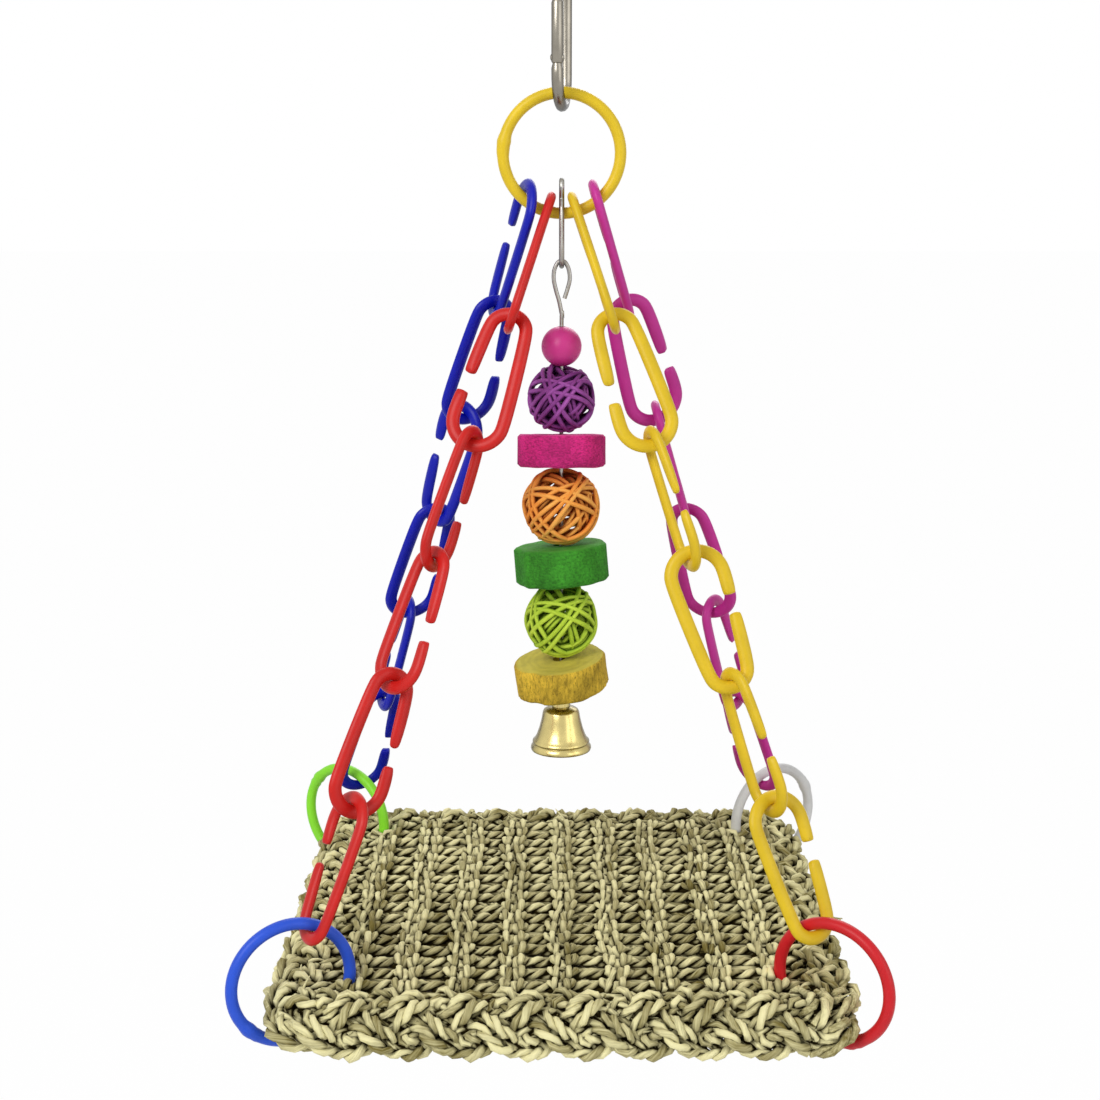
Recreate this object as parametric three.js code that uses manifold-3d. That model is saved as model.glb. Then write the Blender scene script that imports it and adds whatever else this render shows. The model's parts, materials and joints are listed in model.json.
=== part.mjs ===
// Seagrass bird hammock: a woven mat hung by four chains of open plastic links from one ring
// and a steel snap clip, with a string of vine balls, wood slices and a bell in the middle.
// Millimetres and degrees, +Z up, +Y away from the front. The origin is inside the clip's top bow.

import * as THREE from "three";
import { mergeVertices } from "three/addons/utils/BufferGeometryUtils.js";
import Module from "manifold-3d";

const wasm = await Module();
wasm.setup();

// Gap left between pieces that touch
const play = 0.3;

// Snap clip
const clipLength = 50;
const clipWidth = 24;
const clipWire = 4;
const clipTurn = 9;
const gateTopBelowBow = 10;
const gateLength = 21;
const gateNoseGap = 0.4;
const gateForkSlot = 2;
const gateForkDepth = 6.5;
const gatePinDiameter = 1.2;
const gatePinFromEnd = 2;
const gateShoulderGap = 1.2;
const gateBore = 2;
const gateSpringDiameter = 1.6;
const gateSpringLength = 8;

// Rings: the top ring and the four corner rings are alike
const ringOuter = 44;
const ringBar = 4.1;

// Open links
const linkLength = 52;
const linkWideEnd = 22.5;
const linkNarrowEnd = 18;
const linkBar = 4.5;
const linkThick = 3;
const linkChamfer = 1.1;
const linkPlay = 0.4;
const linkMouth = 6;
const linkMouthFromWideEnd = 20;
const linksPerChain = 6;

// Where the chains sit on the top ring, left and right of its middle
const frontChainSpot = 5.1;
const backChainSpot = 12.2;

// Mat
const matWidth = 196;
const matDepth = 196;
const matCornerRadius = 14;
const braidWidth = 20;
const braidThick = 14;
const braidChamfer = 3;
const fieldThick = 8;
const rowThick = 6;
const cordWidth = 8;
const rowPitch = 17;
const columnPitch = 17;
const ringsFromMatEdge = 21;
const ringPassage = 9;

// Toy string
const hookAboveBar = 12;
const hookBelowBar = 18.9;
const hookWidth = 11;
const hookTopWidth = 6.2;
const hookWaist = 2.5;
const hookWire = 1.8;
const stringWire = 1.5;
const eyeLength = 13.6;
const eyeWidth = 7;
const bareWire = 9.5;
const beadDiameter = 14;
const beadBore = 3;
const beadNest = 1;
const sliceBore = 4.6;
const purpleBallWidth = 25;
const purpleBallHeight = 23.4;
const pinkSliceWidth = 31;
const pinkSliceHeight = 11.4;
const orangeBallWidth = 29.5;
const orangeBallHeight = 25.8;
const greenSliceWidth = 33;
const greenSliceHeight = 13.2;
const limeBallWidth = 27.5;
const limeBallHeight = 25.6;
const ochreSliceWidth = 33;
const ochreSliceHeight = 11.6;
const bellDiameter = 22;
const bellHeight = 21.5;
const bellNeckDiameter = 7;
const bellShoulderDiameter = 12.6;
const bellWaistDiameter = 15.6;
const bellWaistHeight = 7.5;
const bellLip = 2;
const bellNeckHeight = 6;
const bellWall = 1;
const bellBore = 2.4;
const bellLoopDiameter = 5;
const clapperDiameter = 5.4;
const clapperLength = 7;
const clapperEyeDiameter = 4.2;
const clapperWire = 1.1;

// Vine balls: one strand wound as a knot with this many bights and leads
const vineStrand = 1.8;
const vineLift = 2;
const vineBights = 5;
const vineLeads = 4;
const vineReach = 0.92;
const vineSteps = 105;
const vineSides = 5;
const vineEndGap = 0.03;

// Smoothness
const barSides = 8;
const ringSteps = 28;
const bendSteps = 6;
const turnedSides = 16;
const sliceSides = 20;
const clapperSides = 10;
const stringSides = 6;

// Each chain, from the top link down: how far each link is turned on the chain's line
// (0 shows its face to the front with the mouth on the right) and whether its wide end is up
const chains = [
  { name: "red", colour: 0xe2342c, side: -1, front: true, turns: [90, 165, 62, -48, 30, 122],
    wideUp: [false, false, false, false, false, true] },
  { name: "blue", colour: 0x1224c4, side: -1, front: false, turns: [108, 35, 140, 30, 110, 35],
    wideUp: [true, false, true, false, false, false] },
  { name: "yellow", colour: 0xf0d232, side: 1, front: true, turns: [90, 190, -74, 5, -62, 30],
    wideUp: [false, false, false, true, false, true] },
  { name: "pink", colour: 0xb9288c, side: 1, front: false, turns: [90, 10, 88, -25, 55, 130],
    wideUp: [false, false, false, false, false, false] },
];
const cornerRings = {
  red: { name: "front_left_ring", colour: 0x325fdc, yaw: 26 },
  blue: { name: "back_left_ring", colour: 0x82e628, yaw: -35 },
  yellow: { name: "front_right_ring", colour: 0xdc232d, yaw: -38 },
  pink: { name: "back_right_ring", colour: 0xe6e6e6, yaw: 35 },
};

// The string from the bead down: lean tips a slice's top towards the front, roll lifts its right side
const threaded = [
  { name: "purple_vine_ball", width: purpleBallWidth, height: purpleBallHeight, colour: 0x6e2d82 },
  { name: "pink_wood_slice", width: pinkSliceWidth, height: pinkSliceHeight, lean: -7, roll: 0,
    colour: 0xbe2873 },
  { name: "orange_vine_ball", width: orangeBallWidth, height: orangeBallHeight, colour: 0xe68228 },
  { name: "green_wood_slice", width: greenSliceWidth, height: greenSliceHeight, lean: -3, roll: 5,
    colour: 0x23782d },
  { name: "lime_vine_ball", width: limeBallWidth, height: limeBallHeight, colour: 0x96c828 },
  { name: "ochre_wood_slice", width: ochreSliceWidth, height: ochreSliceHeight, lean: 6, roll: 8,
    colour: 0xbea53c },
];

const object = new THREE.Group();

// Helpers

const radians = THREE.MathUtils.degToRad;

// A bent line whose points are the steps of the sweep along it
class Route extends THREE.Curve {
  constructor(points) {
    super();
    this.points = points;
  }

  getPoint(t, target = new THREE.Vector3()) {
    const place = t * (this.points.length - 1);
    const i = Math.min(Math.floor(place), this.points.length - 2);
    return target.lerpVectors(this.points[i], this.points[i + 1], place - i);
  }

  getTangent(t, target = new THREE.Vector3()) {
    const last = this.points.length - 1;
    const i = Math.round(t * last);
    const here = this.points[i];
    const before = here.clone().sub(this.points[Math.max(i - 1, 0)]).normalize();
    const after = this.points[Math.min(i + 1, last)].clone().sub(here).normalize();
    return target.copy(before).add(after).normalize();
  }

  getUtoTmapping(u) {
    return u;
  }
}

function sweep(section, points) {
  return new THREE.ExtrudeGeometry(new THREE.Shape(section), {
    steps: points.length - 1,
    bevelEnabled: false,
    extrudePath: new Route(points),
  });
}

function roundSection(diameter, sides) {
  return Array.from({ length: sides }, (_, i) => {
    const angle = (2 * Math.PI * (i + 0.5)) / sides;
    return new THREE.Vector2(Math.cos(angle), Math.sin(angle)).multiplyScalar(diameter / 2);
  });
}

// Points of an arc in the XZ plane, with angles in degrees from +X towards +Z
function arc(x, z, radius, from, to, steps) {
  return Array.from({ length: steps + 1 }, (_, i) => {
    const angle = radians(from + ((to - from) * i) / steps);
    return new THREE.Vector3(x + radius * Math.cos(angle), 0, z + radius * Math.sin(angle));
  });
}

function flat(x, z) {
  return new THREE.Vector3(x, 0, z);
}

// A body turned about Z from a closed profile of radius and height
function turned(profile, sides = turnedSides) {
  const points = profile.map(([radius, height]) => new THREE.Vector2(radius, height));
  return new THREE.LatheGeometry([...points, points[0]], sides).rotateX(Math.PI / 2);
}

function tube(outer, bore, length, sides) {
  const [r, b, h] = [outer / 2, bore / 2, length / 2];
  return turned([[b, -h], [r, -h], [r, h], [b, h]], sides);
}

function solid(geometry) {
  const bare = geometry.clone();
  bare.deleteAttribute("normal");
  bare.deleteAttribute("uv");
  const merged = mergeVertices(bare, 1e-4);
  return new wasm.Manifold(new wasm.Mesh({
    numProp: 3,
    vertProperties: new Float32Array(merged.attributes.position.array),
    triVerts: new Uint32Array(merged.index.array),
  }));
}

function geometryOf(body) {
  const mesh = body.getMesh();
  const geometry = new THREE.BufferGeometry();
  geometry.setAttribute("position", new THREE.BufferAttribute(mesh.vertProperties, 3));
  geometry.setIndex(new THREE.BufferAttribute(mesh.triVerts, 1));
  geometry.computeVertexNormals();
  return geometry;
}

function add(parent, name, geometry, colour, roughness, metalness = 0) {
  const material = new THREE.MeshStandardMaterial({ color: colour, roughness, metalness });
  const mesh = new THREE.Mesh(geometry, material);
  mesh.name = name;
  parent.add(mesh);
  return mesh;
}

function group(parent, x, y, z) {
  const made = new THREE.Group();
  made.position.set(x, y, z);
  parent.add(made);
  return made;
}

const steel = 0xb4b4b0;
const straw = 0x968c5f;

// Snap clip: an oval of wire with a sprung gate in its front side

const clipInside = clipLength - 2 * clipWire;

function makeClip() {
  const clip = group(object, 0, 0, 0);
  clip.rotation.z = radians(90 - clipTurn);
  const bend = (clipWidth - clipWire) / 2;
  const topCentre = clipWire / 2 - bend;
  const bottomCentre = -clipInside - clipWire / 2 + bend;
  const gateTop = -gateTopBelowBow;
  const gateBottom = gateTop - gateLength;
  const pinHeight = gateBottom + gatePinFromEnd;
  const shoulder = gateBottom - gateShoulderGap;
  const front = -bend;

  const line = [
    flat(front, gateTop + gateNoseGap),
    ...arc(0, topCentre, bend, 180, 0, bendSteps),
    ...arc(0, bottomCentre, bend, 0, -180, bendSteps),
    flat(front, shoulder),
  ];
  const tangTop = pinHeight + clipWire / 2 - play;
  const tangFoot = shoulder - clipWire / 2;
  const tangThick = gateForkSlot - 2 * play;
  const tang = new THREE.BoxGeometry(clipWire - 2 * play, tangThick, tangTop - tangFoot);
  tang.translate(front, 0, (tangTop + tangFoot) / 2);
  const pinRadius = gatePinDiameter / 2;
  const pinHole = new THREE.CylinderGeometry(pinRadius + play, pinRadius + play, clipWire, barSides);
  pinHole.translate(front, 0, pinHeight);
  const wire = solid(sweep(roundSection(clipWire, barSides), line));
  add(clip, "clip_body", geometryOf(wire.add(solid(tang)).subtract(solid(pinHole))), steel, 0.3, 1);

  const pin = new THREE.CylinderGeometry(pinRadius, pinRadius, clipWire, barSides);
  pin.translate(front, 0, pinHeight);
  add(clip, "gate_pin", pin, steel, 0.3, 1);

  const rod = new THREE.CylinderGeometry(clipWire / 2, clipWire / 2, gateLength, barSides);
  rod.rotateX(Math.PI / 2).translate(front, 0, (gateTop + gateBottom) / 2);
  const slot = new THREE.BoxGeometry(clipWire * 2, gateForkSlot, gateForkDepth * 2);
  slot.translate(front, 0, gateBottom);
  const boreLength = gateSpringLength + play;
  const bore = new THREE.CylinderGeometry(gateBore / 2, gateBore / 2, boreLength * 2, barSides);
  bore.rotateX(Math.PI / 2).translate(front, 0, gateBottom + gateForkDepth);
  const gate = solid(rod).subtract(solid(slot)).subtract(solid(bore)).subtract(solid(pinHole));
  add(clip, "clip_gate", geometryOf(gate), steel, 0.3, 1);

  const spring = new THREE.CylinderGeometry(
    gateSpringDiameter / 2, gateSpringDiameter / 2, gateSpringLength, barSides);
  spring.rotateX(Math.PI / 2).translate(front, 0, gateBottom + gateForkDepth + gateSpringLength / 2);
  add(clip, "gate_spring", spring, steel, 0.4, 1);
}

// Rings

const ringRadius = (ringOuter - ringBar) / 2;

function ring(parent, name, colour) {
  const geometry = new THREE.TorusGeometry(ringRadius, ringBar / 2, barSides, ringSteps);
  return add(parent, name, geometry.rotateX(Math.PI / 2), colour, 0.35);
}

// The top ring hangs in the clip, and its lowest bar carries the chains and the toy string
const topRingCentre = -clipInside + play + ringBar / 2 - ringRadius;
const ringFoot = topRingCentre - ringRadius;

// Links

const linkInside = linkLength - 2 * linkBar;

function linkGeometry(wideUp) {
  const wide = (linkWideEnd - linkBar) / 2;
  const narrow = (linkNarrowEnd - linkBar) / 2;
  const end = (linkLength - linkBar) / 2;
  const wideCentre = wide - end;
  const narrowCentre = end - narrow;
  const taper = THREE.MathUtils.radToDeg(Math.asin((wide - narrow) / (narrowCentre - wideCentre)));
  const lowerLip = linkMouthFromWideEnd - linkLength / 2;
  const wideArc = arc(0, wideCentre, wide, taper, -180 - taper, bendSteps + 2);
  const narrowArc = arc(0, narrowCentre, narrow, 180 - taper, taper, bendSteps);
  const mouthSide = (height) => {
    const [low, high] = [wideArc[0], narrowArc[bendSteps]];
    return low.clone().lerp(high, (height - low.z) / (high.z - low.z));
  };
  const points = [
    mouthSide(lowerLip),
    ...wideArc,
    ...narrowArc,
    mouthSide(lowerLip + linkMouth),
  ];
  const [t, b, c] = [linkThick / 2, linkBar / 2, linkChamfer];
  const section = [
    [t, b - c], [t - c, b], [c - t, b], [-t, b - c], [-t, c - b], [c - t, -b], [t - c, -b], [t, c - b],
  ].map(([x, y]) => new THREE.Vector2(x, y));
  const geometry = sweep(section, points);
  return wideUp ? geometry.rotateX(Math.PI) : geometry;
}

// A link's inner ends rest on its neighbours' with play between them
const linkPitch = linkInside - linkPlay;
const chainInside = linkInside + (linksPerChain - 1) * linkPitch;

// How the mat hangs: level, with all four chains taut
const sideBraidMiddle = (matWidth - braidWidth) / 2;
const ringReach = matDepth / 2 - ringsFromMatEdge;

// From a bar's middle to the end of a link on it, where the bar leans against the link's line
function seatOn(tangent, line) {
  const lean = Math.asin(Math.abs(tangent.dot(line)));
  return ringBar / 2 / Math.cos(lean) + (linkThick / 2) * Math.tan(lean) + play;
}

// A chain's ends on the top ring and on a corner ring whose middle is at this level and depth.
// The pull takes it to the spot on the corner ring that points along the chain.
function chainEnds(chain, level, depth) {
  const spot = chain.side * (chain.front ? frontChainSpot : backChainSpot);
  const drop = Math.sqrt(ringRadius ** 2 - spot ** 2);
  const start = new THREE.Vector3(spot, 0, topRingCentre - drop);
  const tangent = new THREE.Vector3(drop, 0, spot).normalize();
  const yaw = radians(cornerRings[chain.name].yaw);
  const across = new THREE.Vector3(-Math.sin(yaw), Math.cos(yaw), 0);
  const middle = new THREE.Vector3(chain.side * sideBraidMiddle, depth, level);
  const finish = middle.clone();
  const up = new THREE.Vector3();
  for (let i = 0; i < 20; i += 1) {
    up.subVectors(start, finish).normalize();
    finish.copy(up).addScaledVector(across, -up.dot(across)).setLength(ringRadius).add(middle);
  }
  const seat = seatOn(tangent, up);
  const slack = chainInside - seat - ringBar / 2 - play - start.distanceTo(finish);
  return { start, up, seat, middle, slack };
}

function halve(low, high, isLow) {
  for (let i = 0; i < 50; i += 1) {
    const half = (low + high) / 2;
    if (isLow(half)) {
      low = half;
    } else {
      high = half;
    }
  }
  return (low + high) / 2;
}

// How far out from the middle a corner ring at this level pulls its chain taut
function tautDepth(chain, level) {
  const outward = chain.front ? -1 : 1;
  return outward * halve(0, chainInside, (out) => chainEnds(chain, level, out * outward).slack > 0);
}

function hang() {
  const [front, back] = chains;
  const level = halve(topRingCentre - chainInside - ringOuter, topRingCentre, (height) => {
    return tautDepth(back, height) - tautDepth(front, height) < 2 * ringReach;
  });
  const ends = chains.map((chain) => chainEnds(chain, level, tautDepth(chain, level)));
  return { level, ends, shift: (ends[0].middle.y + ends[1].middle.y) / 2 };
}

const { level: cornerRingCentre, ends: chainPlaces, shift: matShift } = hang();

function makeChains() {
  chains.forEach((chain, index) => {
    const { start, up, seat, middle } = chainPlaces[index];
    const back = new THREE.Vector3(0, 1, 0).addScaledVector(up, -up.y).normalize();
    const right = back.clone().cross(up);
    const line = group(object, start.x, start.y, start.z);
    line.quaternion.setFromRotationMatrix(new THREE.Matrix4().makeBasis(right, back, up));
    chain.turns.slice(0, linksPerChain).forEach((turn, i) => {
      const link = add(line, `${chain.name}_link_${i + 1}`, linkGeometry(chain.wideUp[i]), chain.colour, 0.4);
      link.position.z = seat - linkInside / 2 - i * linkPitch;
      link.rotation.z = radians(turn);
    });
    const { name, colour, yaw } = cornerRings[chain.name];
    const corner = group(object, middle.x, middle.y, middle.z);
    corner.rotation.z = radians(yaw);
    ring(corner, name, colour);
  });
}

// Mat: its side braids lie in the corner rings, as low as the rings let them

function matHeight() {
  const inner = ringRadius - ringBar / 2 - play;
  const half = braidWidth / 2;
  const deep = braidThick / 2;
  const edges = [[half, deep - braidChamfer], [half - braidChamfer, deep]];
  const yaws = Object.values(cornerRings).map(({ yaw }) => radians(yaw));
  const limits = yaws.flatMap((yaw) => edges.map(([out, down]) => {
    const along = out / Math.cos(yaw) + (ringBar / 2) * Math.abs(Math.tan(yaw));
    return down - Math.sqrt(inner ** 2 - along ** 2);
  }));
  return cornerRingCentre + Math.max(...limits);
}

function rectangle(width, depth) {
  const [x, y] = [width / 2, depth / 2];
  return [[-x, -y], [x, -y], [x, y], [-x, y]].map(([a, b]) => new THREE.Vector2(a, b));
}

// A bar of cord with its long edges chamfered, of the given outline in plan
function braid(outline) {
  const depth = braidThick - 2 * braidChamfer;
  const bar = new THREE.ExtrudeGeometry(outline, {
    depth,
    curveSegments: 4,
    bevelThickness: braidChamfer,
    bevelSize: braidChamfer,
    bevelOffset: -braidChamfer,
    bevelSegments: 1,
  });
  return bar.translate(0, 0, -depth / 2);
}

function endBraidOutline(outward) {
  const [x, y, r] = [matWidth / 2, braidWidth / 2, matCornerRadius];
  const outline = new THREE.Shape();
  outline.moveTo(-x, y);
  outline.lineTo(-x, r - y);
  outline.absarc(r - x, r - y, r, Math.PI, 1.5 * Math.PI);
  outline.lineTo(x - r, -y);
  outline.absarc(x - r, r - y, r, 1.5 * Math.PI, 2 * Math.PI);
  outline.lineTo(x, y);
  const points = outline.getPoints(4);
  return new THREE.Shape(points.map((p) => new THREE.Vector2(p.x, p.y * outward)));
}

function makeMat() {
  const mat = group(object, 0, matShift, matHeight());
  const endMiddle = (matDepth - braidWidth) / 2;
  const front = add(mat, "front_braid", braid(endBraidOutline(1)), straw, 0.9);
  front.position.y = -endMiddle;
  const rear = add(mat, "back_braid", braid(endBraidOutline(-1)), straw, 0.9);
  rear.position.y = endMiddle;
  const sideLength = matDepth - 2 * braidWidth - 2 * play;
  for (const [name, side] of [["left_braid", -1], ["right_braid", 1]]) {
    const bar = add(mat, name, braid(new THREE.Shape(rectangle(braidWidth, sideLength))), straw, 0.9);
    bar.position.x = side * sideBraidMiddle;
  }

  const fieldWidth = matWidth - 2 * braidWidth - 2 * play;
  const fieldDepth = sideLength;
  const [acrossColumns, acrossRows] = [fieldWidth - cordWidth, fieldDepth - cordWidth];
  const columns = Math.round(acrossColumns / columnPitch);
  const rows = Math.round(acrossRows / rowPitch);
  let field = null;
  for (let i = 0; i <= columns; i += 1) {
    const column = new THREE.BoxGeometry(cordWidth, fieldDepth, fieldThick);
    column.translate((i / columns - 0.5) * acrossColumns, 0, 0);
    field = field ? field.add(solid(column)) : solid(column);
  }
  for (let j = 0; j <= rows; j += 1) {
    const row = new THREE.BoxGeometry(fieldWidth, cordWidth, rowThick);
    field = field.add(solid(row.translate(0, (j / rows - 0.5) * acrossRows, 0)));
  }
  chains.forEach((chain, index) => {
    const yaw = radians(cornerRings[chain.name].yaw);
    const inward = -chain.side * ringRadius;
    const { middle } = chainPlaces[index];
    const leg = new THREE.Vector2(middle.x, middle.y - matShift);
    leg.add(new THREE.Vector2(inward * Math.cos(yaw), inward * Math.sin(yaw)));
    const edge = fieldWidth / 2 + play;
    const inner = Math.abs(leg.x) - ringPassage / 2;
    const cut = new THREE.BoxGeometry(edge - inner, ringPassage, fieldThick * 2);
    cut.translate((chain.side * (edge + inner)) / 2, leg.y, 0);
    field = field.subtract(solid(cut));
  });
  add(mat, "mat_field", geometryOf(field), straw, 0.9);
}

// Toy string, measured down from the top ring's lowest bar

// The hook is one loop of wire, drawn in over the bar that it hangs on and open in a narrow bow above it
function toyHook() {
  const foot = (hookWidth - hookWire) / 2;
  const bow = (hookTopWidth - hookWire) / 2;
  const seat = ringBar / 2 + 2 * play + hookWire / 2;
  const footCentre = foot + hookWire / 2 - hookBelowBar;
  const bowCentre = hookAboveBar - hookWire / 2 - bow;
  const slit = footCentre / 2;
  const waist = seat + hookWire / 2;
  const points = [
    flat(-foot, slit + play / 2),
    ...arc(0, 0, seat, 160, 130, 2),
    flat(-hookWaist / 2, waist),
    flat(-hookWaist / 2, waist + hookWire / 2),
    ...arc(0, bowCentre, bow, 200, -20, bendSteps),
    flat(hookWaist / 2, waist + hookWire / 2),
    flat(hookWaist / 2, waist),
    ...arc(0, 0, seat, 50, 20, 2),
    ...arc(0, footCentre, foot, 0, -180, bendSteps),
    flat(-foot, slit - play / 2),
  ];
  return sweep(roundSection(hookWire, barSides), points);
}

// The wire's eye, its straight run and the loop under the bell, from the eye's top down
function stringGeometry(eyeTop, straightEnd) {
  const bend = (eyeWidth - stringWire) / 2;
  const eyeCentre = eyeTop - stringWire / 2 - bend;
  const eyeFoot = eyeTop - eyeLength;
  const loop = (bellLoopDiameter - stringWire) / 2;
  const points = [
    flat(stringWire + play, eyeFoot + stringWire),
    ...arc(0, eyeCentre, bend, 0, 180, bendSteps),
    flat(0, eyeFoot - stringWire / 2),
    flat(0, straightEnd),
    ...arc(0, straightEnd - loop - stringWire, loop, 120, 385, bendSteps + 2),
  ];
  return sweep(roundSection(stringWire, stringSides), points);
}

// One strand wound over a ball as a knot, rising and dipping so that it clears itself
function vineBall(width, height) {
  const middle = width / 2 - vineStrand / 2 - vineLift;
  const crossings = vineBights * (vineLeads - 1);
  const points = Array.from({ length: vineSteps + 1 }, (_, i) => {
    const t = vineEndGap + ((2 * Math.PI - 2 * vineEndGap) * i) / vineSteps;
    const rise = vineReach * Math.sin(vineBights * t);
    const lift = middle + vineLift * Math.cos(crossings * t);
    const out = Math.sqrt(1 - rise * rise) * lift;
    return new THREE.Vector3(out * Math.cos(vineLeads * t), out * Math.sin(vineLeads * t), rise * lift);
  });
  const tallest = Math.max(...points.map((point) => Math.abs(point.z)));
  const stretch = (height - vineStrand) / 2 / tallest;
  points.forEach((point) => point.setZ(point.z * stretch));
  return { points, geometry: sweep(roundSection(vineStrand, vineSides), points) };
}

// Least gap of a wound strand to itself, over points that are apart along it
function leastGap(points) {
  const route = new THREE.CatmullRomCurve3(points);
  const fine = route.getSpacedPoints(points.length * 4);
  const step = route.getLength() / (fine.length - 1);
  const apart = Math.ceil((4 * vineStrand) / step);
  let least = Infinity;
  for (let i = 0; i < fine.length; i += 1) {
    for (let j = i + apart; j < fine.length; j += 1) {
      least = Math.min(least, fine[i].distanceTo(fine[j]));
    }
  }
  return least - vineStrand;
}

function beadGeometry() {
  const steps = 8;
  const open = Math.asin(beadBore / beadDiameter);
  const profile = Array.from({ length: steps + 1 }, (_, i) => {
    const angle = open + ((Math.PI - 2 * open) * i) / steps;
    return [(beadDiameter / 2) * Math.sin(angle), (-beadDiameter / 2) * Math.cos(angle)];
  });
  return turned(profile);
}

function bellGeometry() {
  const [rim, neck, bore] = [bellDiameter / 2, bellNeckDiameter / 2, bellBore / 2];
  const [shoulder, waist] = [bellShoulderDiameter / 2, bellWaistDiameter / 2];
  const top = -bellNeckHeight;
  const foot = -bellHeight;
  return turned([
    [bore, top - bellWall],
    [shoulder - bellWall, top - 2 * bellWall],
    [waist - bellWall, foot + bellWaistHeight],
    [rim - bellWall, foot],
    [rim, foot],
    [rim, foot + bellLip],
    [waist, foot + bellWaistHeight + bellWall],
    [shoulder, top - bellWall],
    [neck, top],
    [neck, 0],
    [bore, 0],
  ]);
}

const clapperEyeRadius = (clapperEyeDiameter - clapperWire) / 2;

function clapperGeometry() {
  const loop = new THREE.TorusGeometry(clapperEyeRadius, clapperWire / 2, 6, 12).rotateY(Math.PI / 2);
  const foot = -clapperEyeRadius - clapperLength;
  const r = clapperDiameter / 2;
  const drop = turned([
    [0, foot],
    [r * Math.SQRT1_2, foot + r * (1 - Math.SQRT1_2)],
    [r, foot + r],
    [clapperWire, foot + 2 * r],
    [clapperWire / 2, -clapperEyeRadius],
    [0, -clapperEyeRadius],
  ], clapperSides);
  return geometryOf(solid(loop).add(solid(drop)));
}

function makeToy() {
  const toy = group(object, 0, 0, ringFoot);
  add(toy, "toy_hook", toyHook(), steel, 0.3, 1).rotation.z = Math.PI / 2;
  const eyeTop = hookWire - hookBelowBar + play + stringWire;

  // From here down, z is the lowest point or the middle of the piece last placed
  let z = eyeTop - eyeLength - bareWire;
  const bead = add(toy, "bead", beadGeometry(), 0xc83282, 0.35);
  bead.position.z = z - beadDiameter / 2;
  z += beadNest - beadDiameter;
  let under = () => 0;
  let polarRadius = 0;
  const gaps = [];
  for (const piece of threaded) {
    if (piece.name.endsWith("ball")) {
      const polarRing = (piece.width / 2) * Math.sqrt(1 - vineReach ** 2) + vineStrand;
      const { points, geometry } = vineBall(piece.width, piece.height);
      gaps.push(leastGap(points));
      z -= under(polarRing) + play + piece.height / 2;
      add(toy, piece.name, geometry, piece.colour, 0.8).position.z = z;
      under = () => piece.height / 2;
      polarRadius = polarRing;
    } else {
      const tip = Math.hypot(radians(piece.lean), radians(piece.roll));
      const reach = (radius) => piece.height / 2 / Math.cos(tip) + radius * Math.tan(tip);
      z -= under() + play + reach(polarRadius);
      const disc = tube(piece.width, sliceBore, piece.height, sliceSides);
      const slice = add(toy, piece.name, disc, piece.colour, 0.8);
      slice.position.z = z;
      slice.rotation.set(radians(piece.lean), radians(-piece.roll), 0);
      under = reach;
    }
  }
  const shown = gaps.map((gap) => gap.toFixed(2)).join(" ");
  console.log("least gap of each vine ball's strand to itself, mm:", shown);

  z -= under(bellNeckDiameter / 2) + play;
  const bell = add(toy, "bell", bellGeometry(), 0xc8b973, 0.3, 1);
  bell.position.z = z;
  const straightEnd = z - bellNeckHeight - bellWall - play;
  add(toy, "toy_wire", stringGeometry(eyeTop, straightEnd), steel, 0.3, 1);
  const loopInsideFoot = straightEnd - bellLoopDiameter + stringWire / 2;
  const clapper = add(toy, "clapper", clapperGeometry(), steel, 0.35, 1);
  clapper.position.z = loopInsideFoot + play + clapperWire / 2 - clapperEyeRadius;
}

makeClip();
ring(group(object, 0, 0, topRingCentre), "top_ring", 0xe8c828);
makeChains();
makeMat();
makeToy();

export default object;
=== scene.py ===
import bpy
import bmesh
import json
import random
from math import acos, atan2, cos, degrees, exp, hypot, pi, radians, sin, sqrt
import numpy as np
from mathutils import Matrix, Vector, kdtree, noise


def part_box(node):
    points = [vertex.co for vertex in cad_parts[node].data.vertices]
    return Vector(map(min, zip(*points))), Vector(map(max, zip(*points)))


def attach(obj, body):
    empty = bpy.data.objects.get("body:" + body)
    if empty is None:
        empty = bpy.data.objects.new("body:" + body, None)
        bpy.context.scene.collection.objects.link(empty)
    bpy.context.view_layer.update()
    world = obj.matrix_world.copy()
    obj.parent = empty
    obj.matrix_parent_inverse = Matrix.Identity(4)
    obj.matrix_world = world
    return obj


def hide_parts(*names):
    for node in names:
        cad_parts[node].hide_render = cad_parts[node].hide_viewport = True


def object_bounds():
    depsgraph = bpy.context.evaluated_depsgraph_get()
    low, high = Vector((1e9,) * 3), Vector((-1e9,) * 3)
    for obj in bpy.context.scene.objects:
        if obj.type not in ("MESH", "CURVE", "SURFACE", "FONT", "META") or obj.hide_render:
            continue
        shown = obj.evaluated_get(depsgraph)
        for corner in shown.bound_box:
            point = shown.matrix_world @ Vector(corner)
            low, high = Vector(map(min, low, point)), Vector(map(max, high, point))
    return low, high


# Seagrass hammock: a woven mat on four chains of open links, with a toy string in the middle

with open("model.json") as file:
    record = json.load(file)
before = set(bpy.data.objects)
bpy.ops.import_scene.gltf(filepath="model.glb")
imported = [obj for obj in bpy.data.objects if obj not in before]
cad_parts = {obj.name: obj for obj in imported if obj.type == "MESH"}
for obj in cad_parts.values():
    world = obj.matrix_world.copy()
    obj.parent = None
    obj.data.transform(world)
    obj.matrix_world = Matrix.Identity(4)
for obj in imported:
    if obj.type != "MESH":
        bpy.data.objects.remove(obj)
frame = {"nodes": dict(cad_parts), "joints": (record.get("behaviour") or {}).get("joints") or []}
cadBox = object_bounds()
joints = {joint["name"]: joint for joint in frame["joints"]}
mm = 0.001
upward = Vector((0, 0, 1))
print("frame loaded:", len(frame["nodes"]), "nodes")


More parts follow.
